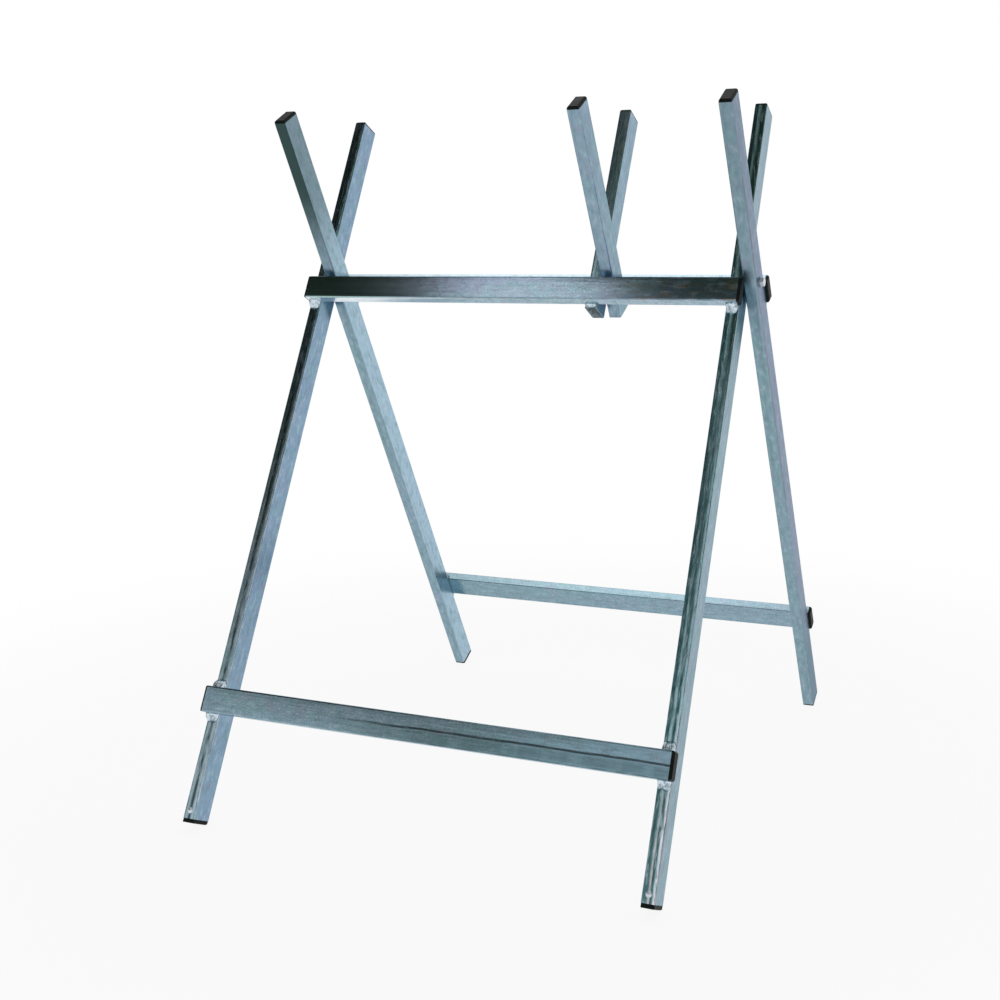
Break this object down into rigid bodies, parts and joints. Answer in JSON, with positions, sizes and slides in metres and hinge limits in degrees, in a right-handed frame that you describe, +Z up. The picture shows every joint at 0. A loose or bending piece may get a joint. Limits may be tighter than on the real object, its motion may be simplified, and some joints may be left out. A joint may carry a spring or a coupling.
{
  "type": "log saw stand",
  "caption": "Folding saw stand of two crossed tube frames that pivot on bolts and open into a row of V supports holding timber for sawing.",
  "frame": {"origin": "on the ground below the middle of the pivot line, centred between the four feet", "axes": "+Z up, X along the pivot line and the row of V supports, -Y towards the front frame's feet"},
  "size_m": [0.7908, 0.8912, 1.0903],
  "materials": {
    "zinc_tube": "bright zinc plated steel tube, faintly streaked and mottled",
    "bright_zinc": "bright zinc plated fasteners",
    "weld": "plated weld bead",
    "black_plug": "moulded black plastic"
  },
  "bodies": {
    "front_frame": {"front_leg_left": "zinc_tube", "front_leg_right": "zinc_tube", "front_crossbar": "zinc_tube", "front_brace": "zinc_tube", "front_mid_arm": "zinc_tube", "front_weld_beads": "weld", "front_top_plug_left": "black_plug", "front_top_plug_right": "black_plug", "front_mid_plug": "black_plug", "front_crossbar_plug_left": "black_plug", "front_crossbar_plug_right": "black_plug", "front_brace_plug_left": "black_plug", "front_brace_plug_right": "black_plug", "front_foot_plug_left": "black_plug", "front_foot_plug_right": "black_plug", "front_foot_rivets": "bright_zinc", "pivot_bolt_left": "bright_zinc", "head_washer_left": "bright_zinc", "spacer_washer_left": "bright_zinc", "nut_washer_left": "bright_zinc", "lock_nut_left": "bright_zinc"},
    "rear_frame": {"rear_leg_left": "zinc_tube", "rear_leg_right": "zinc_tube", "rear_crossbar": "zinc_tube", "rear_brace": "zinc_tube", "rear_mid_arm": "zinc_tube", "rear_weld_beads": "weld", "rear_top_plug_left": "black_plug", "rear_top_plug_right": "black_plug", "rear_mid_plug": "black_plug", "rear_crossbar_plug_left": "black_plug", "rear_crossbar_plug_right": "black_plug", "rear_brace_plug_left": "black_plug", "rear_brace_plug_right": "black_plug", "rear_foot_plug_left": "black_plug", "rear_foot_plug_right": "black_plug", "rear_foot_rivets": "bright_zinc", "pivot_bolt_right": "bright_zinc", "head_washer_right": "bright_zinc", "spacer_washer_right": "bright_zinc", "nut_washer_right": "bright_zinc", "lock_nut_right": "bright_zinc"}
  },
  "joints": [
    {"name": "fold", "type": "hinge", "parent": "front_frame", "child": "rear_frame", "pos_m": [0, 0, 0.81288], "axis": [-1, 0, 0], "range_deg": [0, 54.5]}
  ]
}
